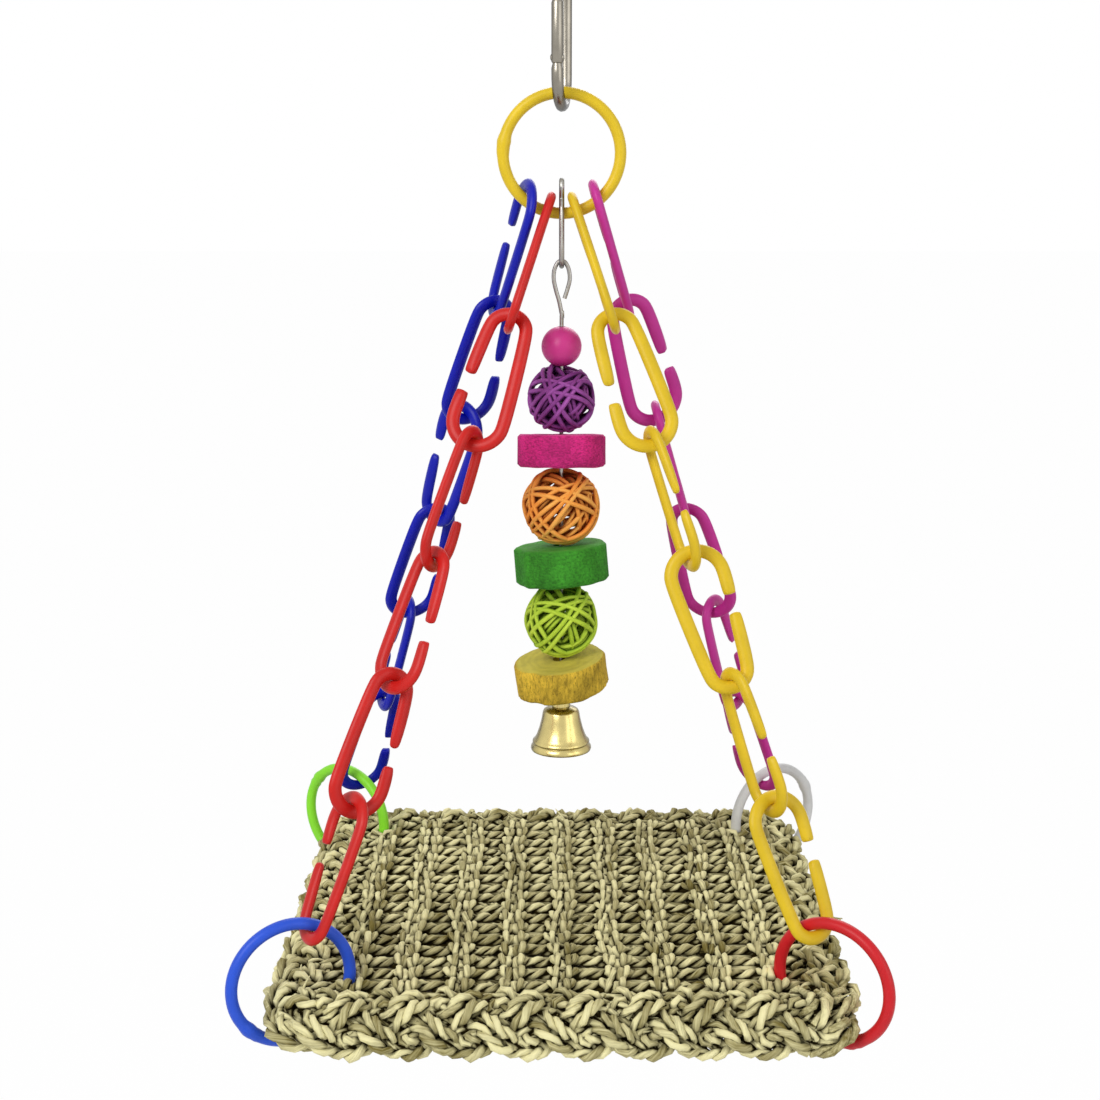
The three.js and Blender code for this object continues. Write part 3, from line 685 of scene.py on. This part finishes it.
def makeBead():
    low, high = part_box("bead")
    radius = (high.x - low.x) / 2
    reach = acos(beadSizes["bore"] / radius)
    turns = [reach * (2 * i / beadSizes["arcSteps"] - 1) for i in range(beadSizes["arcSteps"] + 1)]
    profile = [(radius * cos(turn), radius * sin(turn)) for turn in turns]
    bm = turnedShape(profile, beadSizes["sides"])
    bmesh.ops.translate(bm, verts=bm.verts, vec=(0, 0, (low.z + high.z) / 2))
    paint = finish("beadPaint", plasticGroup, {"Colour": srgb(*beadSizes["colour"])}, bump=0.08,
                   bumpDepth=0.3 * mm, Specular_IOR_Level=0.4)
    dressed(meshObject("bead_turned", bm), paint, "bead", "pink_bead", "bead")


# Vine balls: loops in layers of (depth, number), in pairs, each rising and dipping on its way round

vine = dict(strand=0.86, steps=80, layers=[(0.0, 5), (1.6, 4), (3.2, 3)], lift=0.4, proud=0.4, apart=1.5,
            closing=0.55, side=0.6, turn=0.382, turnPlay=0.05, leastSlope=0.33, slopeSpan=0.58,
            slopeStep=0.618, slopePlay=0.12, dark=0.6, seed=11)
# Each ball's third colour is that of the painted shade in the crevices between its loops, whose strength is
# in vine
balls = [
    dict(node="purple_vine_ball", pale=(182, 98, 188), deep=(112, 38, 116), creviceShade=(0.32, 0.14, 0.34, 1)),
    dict(node="orange_vine_ball", pale=(255, 194, 98), deep=(246, 142, 44), creviceShade=(0.42, 0.22, 0.1, 1)),
    dict(node="lime_vine_ball", pale=(222, 248, 86), deep=(158, 194, 36), creviceShade=(0.26, 0.32, 0.1, 1)),
]


def vineLoops(wide, draw):
    strand = vine["strand"] * mm
    depths = [depth for depth, number in vine["layers"] for _ in range(number)]
    loops = []
    for count, depth in enumerate(depths, 1):
        play = draw.uniform(-vine["turnPlay"], vine["turnPlay"])
        turn = 2 * pi * (count * vine["turn"] + play)
        rise = (count * vine["slopeStep"] + vine["slopePlay"] * draw.random()) % 1
        slope = vine["leastSlope"] + vine["slopeSpan"] * rise
        flat = sqrt(1 - slope ** 2)
        normal = Vector((cos(turn) * flat, sin(turn) * flat, slope))
        first = normal.orthogonal().normalized()
        second = normal.cross(first)
        phase = draw.uniform(0, 2 * pi)
        side = draw.uniform(-vine["side"], vine["side"]) * mm
        for k in (-1, 1):
            loop = []
            for i in range(vine["steps"]):
                angle = 2 * pi * i / vine["steps"]
                wave = 0.6 * sin(2 * angle + phase) + 0.4 * sin(5 * angle + 2 * phase + 0.4 * k)
                radius = wide - strand - (depth - vine["proud"] + vine["lift"] * (1 + wave)) * mm
                apart = vine["apart"] + vine["closing"] * sin(2 * angle + 1.7 * phase)
                drift = side + k * strand * apart
                ring = sqrt(max(radius ** 2 - drift ** 2, 0))
                loop.append(first * ring * cos(angle) + second * ring * sin(angle) + normal * drift)
            loops.append(loop)
    return loops


# The loops are stretched so that the lowest and the highest fill the ball's height
def makeBall(ball, index):
    node = ball["node"]
    low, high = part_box(node)
    strand = vine["strand"]
    wide = max(high.x - low.x, high.y - low.y) / 2
    loops = vineLoops(wide, random.Random(vine["seed"] + index))
    heights = [point.z for loop in loops for point in loop]
    reach = (high.z - low.z) / 2 - strand * mm + vine["proud"] * mm
    stretch = 2 * reach / (max(heights) - min(heights))
    foot = Vector((0, 0, (low.z + high.z) / 2 - (reach + min(heights) * stretch)))
    strands = [[(foot + Vector((point.x, point.y, point.z * stretch)), strand, 0) for point in loop]
               for loop in loops]
    piece = strandCurve(node + "_woven", strands, roundProfile, closed=True)
    # Painted shade in the crevices between the loops
    markCrevices([(piece, strands, vine["dark"])], roundProfile)
    paint = strandFinish(node.split("_")[0] + "Vine", ball["pale"], ball["deep"], ball["creviceShade"],
                         streaks=0.7, spread=0.35, bump=0.25, shine=0.3)
    dressed(piece, paint, node, node, node)


# Wood slices: flats are (direction, share of the radius), notches are (direction, span, depth)

sawn = dict(bore=2.3 * mm, boreKeep=1.2, edge=0.9 * mm, steps=96, cuts=6, faceUp=0.8, sharp=50, wander=0.012,
            wanderScale=2.2, wanderStep=7.3, rim=0.75, rough=0.18 * mm, roughAround=0.55, roughDown=90,
            lump=0.25 * mm, lumpScale=160)
slices = [
    dict(node="pink_wood_slice", colour=(218, 46, 132), face=(228, 88, 158), pores=0.45, grain=1.8, rough=0.7,
         flats=[], notches=[]),
    dict(node="green_wood_slice", colour=(62, 146, 42), face=(76, 156, 56), pores=0.6, grain=1.3, rough=0.7,
         flats=[(200, 0.93), (236, 0.95)], notches=[]),
    dict(node="ochre_wood_slice", colour=(220, 184, 60), face=(216, 200, 84), pores=0.8, grain=0.3, rough=1.6,
         flats=[], notches=[(232, 9.0, 1.1)]),
]


def discAxis(solid):
    total = Vector()
    for polygon in solid.polygons:
        if polygon.normal.z > sawn["faceUp"]:
            total += polygon.normal * polygon.area
    return total.normalized()


def makeSlice(piece, index):
    node = piece["node"]
    solid = frame["nodes"][node].data
    axis = discAxis(solid)
    middle = sum(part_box(node), Vector()) / 2
    spots = [vert.co - middle for vert in solid.vertices]
    half = max(spot.dot(axis) for spot in spots)
    radius = max((spot - axis * spot.dot(axis)).length for spot in spots)
    bore, edge, cuts, rim = (sawn[key] for key in ("bore", "edge", "cuts", "rim"))
    wall = [(radius, half - edge - (2 * half - 2 * edge) * i / cuts) for i in range(cuts + 1)]
    faceSteps = [radius - edge - (radius - edge - bore) * i / cuts for i in range(cuts + 1)]
    profile = [(r, half) for r in reversed(faceSteps)] + wall + [(r, -half) for r in faceSteps]
    bm = turnedShape(profile, sawn["steps"])
    shift = Vector((index * sawn["wanderStep"], 0, 0))
    for vert in bm.verts:
        out = hypot(vert.co.x, vert.co.y)
        if out < bore * sawn["boreKeep"]:
            continue
        angle = degrees(atan2(vert.co.y, vert.co.x)) % 360
        way = heading(angle)
        wander = noise.noise(way * sawn["wanderScale"] + shift)
        grow = 1 + sawn["wander"] * wander * (1 + piece["rough"])
        for place, keep in piece["flats"]:
            reach = cos(radians(turnFrom(place, angle)))
            if reach > 0:
                grow = min(grow, keep / reach)
        for place, span, depth in piece["notches"]:
            grow -= depth * mm / radius * exp(-(turnFrom(place, angle) / span) ** 4)
        spot = Vector((angle * sawn["roughAround"], vert.co.z * sawn["roughDown"], index))
        share = min(1.0, max(0.0, (out / radius - rim) / (1 - rim)))
        vert.co.x *= grow
        vert.co.y *= grow
        vert.co += way * (noise.noise(spot) * sawn["rough"] * piece["rough"] * share)
        spot = vert.co * sawn["lumpScale"] + Vector((index, 0, 0))
        vert.co.z += noise.noise(spot) * sawn["lump"]
    place = Matrix.Translation(middle) @ turned(upward, axis)
    bmesh.ops.transform(bm, matrix=place, verts=bm.verts)
    made = meshObject(node + "_sawn", bm)
    look = (piece[key] for key in ("colour", "face", "pores", "grain"))
    paint = dyedWood(node.split("_")[0] + "Wood", *look)
    dressed(made, paint, node, node, node)
    sharpEdges(made, sawn["sharp"])


# Bell and clapper: profiles of (radius, height) in millimetres, the bell's from its top down, the lip's two
# radii at its foot, and the clapper's from its foot up

bellSizes = dict(steps=64, sharp=60, lip=(10.8, 10.0),
                 outer=[(1.3, 0), (2.9, -0.1), (3.4, -0.6), (3.5, -1.4), (3.1, -2.2), (3.3, -3.0),
                        (3.1, -3.9), (3.4, -4.8), (3.2, -5.6), (5.4, -6.1), (6.2, -6.6), (6.6, -7.4),
                        (7.1, -10.2), (7.9, -13.4), (8.9, -16.2), (9.7, -17.6), (10.3, -18.1),
                        (10.35, -18.6), (9.95, -19.0), (10.35, -19.4), (10.9, -20.2), (11.0, -20.9)],
                 inner=[(9.3, -19.0), (8.0, -16.2), (6.9, -12.8), (5.9, -8.4), (4.6, -7.3), (1.3, -7.0)])
clapper = dict(sides=24, eye=1.55 * mm, eyeWire=0.55 * mm, eyeSides=10, eyeSteps=24, eyeDrop=2.1 * mm,
               drop=[(0, 0), (1.5, 0.4), (2.5, 1.6), (2.7, 2.8), (2.2, 4.2), (1.0, 5.4), (0.6, 7.2),
                     (0, 7.4)])


def makeBell():
    low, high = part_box("bell")
    lip = [(radius, (low.z - high.z) / mm) for radius in bellSizes["lip"]]
    bm = turnedShape(inMetres(bellSizes["outer"] + lip + bellSizes["inner"]), bellSizes["steps"])
    bmesh.ops.translate(bm, verts=bm.verts, vec=(0, 0, high.z))
    bell = meshObject("bell_cast", bm)
    dressed(bell, bellBrass, "bell", "bell_brass", "bell")
    sharpEdges(bell, bellSizes["sharp"])

    low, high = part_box("clapper")
    drop = turnedShape(inMetres(clapper["drop"]), clapper["sides"], closed=False)
    bmesh.ops.translate(drop, verts=drop.verts, vec=(0, 0, low.z))
    eyeMiddle = upward * (high.z - clapper["eyeDrop"])
    section = bmesh.ops.create_circle(drop, segments=clapper["eyeSides"],
                                      radius=clapper["eyeWire"])["verts"]
    bmesh.ops.translate(drop, verts=section, vec=eyeMiddle + Vector((0, clapper["eye"], 0)))
    edges = list(dict.fromkeys(edge for vert in section for edge in vert.link_edges))
    bmesh.ops.spin(drop, geom=section + edges, cent=eyeMiddle, axis=(1, 0, 0), angle=2 * pi,
                   steps=clapper["eyeSteps"], use_merge=True)
    bmesh.ops.recalc_face_normals(drop, faces=drop.faces)
    dressed(meshObject("clapper_drop", drop), wireSteel, "clapper", "wire_steel", "clapper")


# Mat: two-ply twisted seagrass cords, in millimetres. Rows of paired cords run left to right, each column
# is two pairs of thin cords twined round the rows with opposite twists, and the border is a plait of three
# double cords that goes right round.

cord = dict(ply=1.25, gap=1.1, turn=11.0, step=1.4, roll=3.6, swell=0.24, swellScale=0.29, wobbleScale=0.13,
            wobbleTurn=0.5, wobbleGap=0.15, ringRoom=0.8)
under = 8.0  # how far the field's cords go in under the border
# Seagrass, with its third colour for the painted shade in the crevices between the cords
seagrass = strandFinish("seagrass", (252, 244, 188), (128, 116, 62), (0.03, 0.022, 0.004, 1), streaks=1.0,
                        spread=0.55, bump=0.7, shine=0.08)
cornerJoints = [joints[ring["joint"]] for node, ring in rings.items() if node != "top_ring"]
cornerCircles = [(Vector(joint["pos_m"]) / mm, Vector(joint["axis"])) for joint in cornerJoints]


# Cords give way to the corner rings that go through the weave
def parted(point, radius):
    middle = (ringSizes["outer"] - ringSizes["bar"]) / 2 / mm
    clear = ringSizes["bar"] / 2 / mm + radius + cord["ringRoom"]
    for centre, axis in cornerCircles:
        across = point - centre
        inPlane = across - axis * across.dot(axis)
        nearest = centre + inPlane.normalized() * middle
        away = point - nearest
        if away.length < clear:
            point = nearest + away.normalized() * clear
    return point


# A cord's line, a list of (point, upward), with the directions across it
def framed(line):
    path = []
    for i, (point, up) in enumerate(line):
        ahead = line[min(i + 1, len(line) - 1)][0] - line[max(i - 1, 0)][0]
        side = ahead.cross(up).normalized()
        path.append((point, side, side.cross(ahead).normalized()))
    return path


# The two plies of a cord along a framed line
def pliesOf(path, size, lay, seed):
    length = sum((after[0] - before[0]).length for before, after in zip(path, path[1:]))
    turns = round(length / cord["turn"] / size)
    strands = []
    last = len(path) - 1
    for start in (0, pi):
        strand = []
        for i, (point, side, up) in enumerate(path):
            share = i / last
            wobble = noise.noise(Vector((i * cord["wobbleScale"], start, seed)))
            phase = lay * 2 * pi * turns * share + start + seed + cord["wobbleTurn"] * wobble
            offset = side * cos(phase) + up * sin(phase)
            uneven = noise.noise(Vector((i * cord["swellScale"], seed, start)))
            swell = cord["ply"] * size * (1 + cord["swell"] * uneven)
            place = parted(point + offset * cord["gap"] * size * (1 + cord["wobbleGap"] * wobble), swell)
            strand.append((place * mm, swell, -lay * share * turns * cord["roll"]))
        strands.append(strand)
    return strands


plait = dict(cords=3, apart=2.3, rise=3.4, steep=2.5, period=58.0, corner=9.0, coreHeight=-1.2,
             cores=(-0.9, -0.45, 0.0, 0.45, 0.9), phase=2.3, dark=0.6)
plaitSides = dict(front=dict(sway=8.0, tilt=45.0, bend=32.0, drop=2.0),
                  back=dict(sway=7.6, tilt=28.0, bend=24.0, drop=0.5),
                  sides=dict(sway=6.6, tilt=12.0, bend=16.0, drop=0.0))


# The middle of the border, once round from the front's right corner
def borderPath():
    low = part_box("front_braid")[0] / mm
    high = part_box("back_braid")[1] / mm
    inset = (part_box("left_braid")[1].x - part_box("left_braid")[0].x) / mm / 2
    middle = (low + high) / 2
    radius = plait["corner"]
    halfX = (high.x - low.x) / 2 - inset - radius
    halfY = (high.y - low.y) / 2 - inset - radius
    corners = [Vector((x * halfX, y * halfY, 0)) for x, y in [(1, -1), (1, 1), (-1, 1), (-1, -1)]]
    bend = int(radius * pi / 2 / cord["step"])
    points = []
    for number, centre in enumerate(corners):
        following = corners[(number + 1) % 4]
        run = int((following - centre).length / cord["step"])
        for i in range(bend):
            side = heading(90 * (number - 1) + 90 * i / bend)
            points.append((middle + centre + side * radius, side))
        side = heading(90 * number)
        for i in range(run):
            points.append((middle + centre.lerp(following, i / run) + side * radius, side))
    return points + points[:1]


# How the plait lies at this side: in front and behind its outer edge bends down over the mat's edge
def plaitLie(side):
    front, back = max(0.0, -side.y) ** 2, max(0.0, side.y) ** 2
    shares = dict(front=front, back=back, sides=1 - front - back)
    return {key: sum(share * plaitSides[part][key] for part, share in shares.items())
            for key in plaitSides["front"]}


# A line on the plait: how far across, from -1 at its inner edge to 1, and how high, at each share of the way
def plaitLine(path, across, height):
    last = len(path) - 1
    line = []
    for i, (point, side, lie) in enumerate(path):
        tilt, bend = radians(lie["tilt"]), radians(lie["bend"])
        lean = tilt + bend * across(i / last)
        arc = lie["sway"] / bend
        out = arc * (sin(lean) - sin(tilt))
        fall = arc * (cos(lean) - cos(tilt)) - lie["drop"]
        up = side * sin(lean) + Vector((0, 0, cos(lean)))
        line.append((point + side * out + Vector((0, 0, fall)) + up * height(i / last), up))
    return framed(line)


# Each double cord passes over one neighbour and under the next as it crosses the plait
def plaitCords(path):
    count = plait["cords"]
    periods = round((len(path) - 1) * cord["step"] / plait["period"])
    cords = []
    for number in range(count):
        def turnAt(share, number=number):
            return 2 * pi * (number / count - periods * share)

        def height(share):
            turn = turnAt(share)
            over = max(-1.0, min(1.0, plait["steep"] * cos(turn)))
            return plait["rise"] * cos(count * (turn - pi / 2)) * over
        woven = plaitLine(path, lambda share: sin(turnAt(share)), height)
        for k in (-1, 1):
            cords.append(framed([(point + side * k * plait["apart"], up) for point, side, up in woven]))
    for across in plait["cores"]:
        cords.append(plaitLine(path, lambda _, across=across: across, lambda _: plait["coreHeight"]))
    return cords


# The border's plies, cut where one side's piece meets the next
def borderStrands():
    strands = {"front_braid": [], "back_braid": [], "left_braid": [], "right_braid": []}
    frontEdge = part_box("front_braid")[1].y
    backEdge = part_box("back_braid")[0].y

    def nodeAt(point):
        if point.y < frontEdge:
            return "front_braid"
        if point.y > backEdge:
            return "back_braid"
        return "left_braid" if point.x < 0 else "right_braid"

    path = [(point, side, plaitLie(side)) for point, side in borderPath()]
    for number, woven in enumerate(plaitCords(path)):
        for strand in pliesOf(woven, 1.0, 1 if number % 2 else -1, number * plait["phase"]):
            run = [strand[0]]
            for before, after in zip(strand, strand[1:]):
                run.append(after)
                if nodeAt(before[0]) != nodeAt(after[0]):
                    strands[nodeAt(before[0])].append(run)
                    run = [before, after]
            strands[nodeAt(strand[-2][0])].append(run)
    return strands


row = dict(pitch=9.4, apart=2.3, step=1.1, bow=1.5, bowScale=0.03, dip=1.0, dipScale=0.05, phase=1.3,
           blade=1.4, bladePoints=56, bladeScale=0.04, bladeDrop=0.7, dark=1.1)


# The plain numbers in a noise place only set one cord's wander apart from another's
def rowStrands(low, high, rows):
    middle = (low.z + high.z) / 2
    pitch = (high.y - low.y) / rows
    start, length = low.x - under, high.x - low.x + 2 * under
    count = int(length / cord["step"])
    strands = []
    for j in range(-1, rows + 1):
        for k in (-1, 1):
            y = low.y + (j + 0.5) * pitch + k * row["apart"]
            line = []
            for i in range(count + 1):
                x = start + length * i / count
                bow = row["bow"] * noise.noise(Vector((x * row["bowScale"], j * 2.7, 0.4 * k)))
                dip = row["dip"] * noise.noise(Vector((x * row["dipScale"], j * 1.9, 4.0 + k)))
                line.append((Vector((x, y + bow, middle + (dip + k * row["step"]))), upward))
            strands += pliesOf(framed(line), 1.0, k, j * row["phase"] + k)
        for gap in (0.0, 0.5):  # a single blade lies low between the cords
            blade = []
            for x in np.linspace(start, start + length, row["bladePoints"]):
                sway = Vector((x * row["bladeScale"], j + gap, 9.0))
                y = low.y + (j + 0.5 + gap) * pitch + noise.noise(sway)
                place = Vector((x, y, middle - row["bladeDrop"] + noise.noise(-sway)))
                blade.append((parted(place, row["blade"]) * mm, row["blade"], 0))
            strands.append(blade)
    return strands


column = dict(pitch=17.0, size=0.92, step=0.8, rise=3.9, sway=1.7, apart=2.2, loose=0.4, looseScale=0.06,
              bow=2.6, bowScale=0.035, tuck=2.0, phase=1.7, dark=0.8)


# Each column's ends tuck under the border
def columnStrands(low, high, rows):
    middle = (low.z + high.z) / 2
    pitch = (high.y - low.y) / rows
    columns = round((high.x - low.x) / column["pitch"])
    start, length = low.y - under, high.y - low.y + 2 * under
    count = int(length / cord["step"] / column["step"])
    strands = []
    for i in range(columns):
        x = low.x + (i + 0.5) * (high.x - low.x) / columns
        for pair in (-1, 1):
            for turn in range(2):
                line = []
                for k in range(count + 1):
                    y = start + length * k / count
                    phase = pi * ((y - low.y) / pitch - 0.5 + turn)
                    bow = column["bow"] * noise.noise(Vector((y * column["bowScale"], i * 3.1, 7.0)))
                    slack = noise.noise(Vector((y * column["looseScale"], i * 2.3 + turn, pair)))
                    loose = 1 + column["loose"] * slack
                    sway = column["apart"] * loose + column["sway"] * loose * sin(phase)
                    free = min(1.0, (y - start) / under, (start + length - y) / under)
                    height = column["rise"] * cos(phase) * free - column["tuck"] * (1 - free)
                    line.append((Vector((x + bow + pair * sway, y, middle + height)), upward))
                strands += pliesOf(framed(line), column["size"], pair, i * column["phase"] + turn)
    return strands


# Loose ends that stand out of the border
frays = dict(count=50, long=(3.0, 8.0), thick=0.6, taper=(1.1, 0.85), root=0.8, lean=(-0.3, 1.0), lift=0.3,
             curl=0.3, curlUp=(-0.6, 0.4), roll=1.5, steps=6, seed=5)


def frayStrands(strands):
    draw = random.Random(frays["seed"])
    names = list(strands)
    made = {name: [] for name in names}
    full, thinner = frays["taper"]
    for _ in range(frays["count"]):
        name = draw.choice(names)
        ply = draw.choice(strands[name])
        spot = draw.randrange(len(ply) - 1)
        root, radius, _ = ply[spot]
        along = (ply[spot + 1][0] - root).normalized() * draw.choice((-1, 1))
        out = Vector((root.x, root.y, 0)).normalized() + Vector((0, 0, draw.uniform(*frays["lean"])))
        start = root + out.normalized() * radius * frays["root"] * mm
        curl = Vector((draw.uniform(-1, 1), draw.uniform(-1, 1), draw.uniform(*frays["curlUp"])))
        long = draw.uniform(*frays["long"]) * mm
        strand = []
        for k in range(frays["steps"] + 1):
            t = k / frays["steps"]
            rise = out * frays["lift"] * t + curl * frays["curl"] * t * t
            strand.append((start + (along * t + rise) * long, frays["thick"] * (full - thinner * t),
                           frays["roll"] * t))
        made[name].append(strand)
    return made


def makeMat():
    border = borderStrands()
    loose = frayStrands(border)
    low, high = (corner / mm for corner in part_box("mat_field"))
    rows = round((high.y - low.y) / row["pitch"])
    made = [(node, node + "_plaited", border[node] + loose[node], plait["dark"]) for node in border]
    made.append(("mat_field", "mat_rows_laid", rowStrands(low, high, rows), row["dark"]))
    made.append(("mat_field", "mat_columns_twined", columnStrands(low, high, rows), column["dark"]))
    pieces = [(strandCurve(name, strands, bladeProfile), strands, dark) for _, name, strands, dark in made]
    # Painted shade in the crevices between the cords, as strong as each part's own setting
    markCrevices(pieces, bladeProfile)
    for (node, _, _, _), (piece, _, _) in zip(made, pieces):
        dressed(piece, seagrass, "mat", "seagrass", node)


makeCamera()
makeStudio()
for node, ring in rings.items():
    makeRing(node, ring)
print("rings made")
makeLinks()
print("links made")
makeClip()
makeHook()
makeWire()
makeBead()
for number, ball in enumerate(balls):
    makeBall(ball, number)
for number, piece in enumerate(slices):
    makeSlice(piece, number)
makeBell()
print("toy string made")
makeMat()
print("mat made")
for profile in (roundProfile, bladeProfile):
    bpy.data.objects.remove(profile)
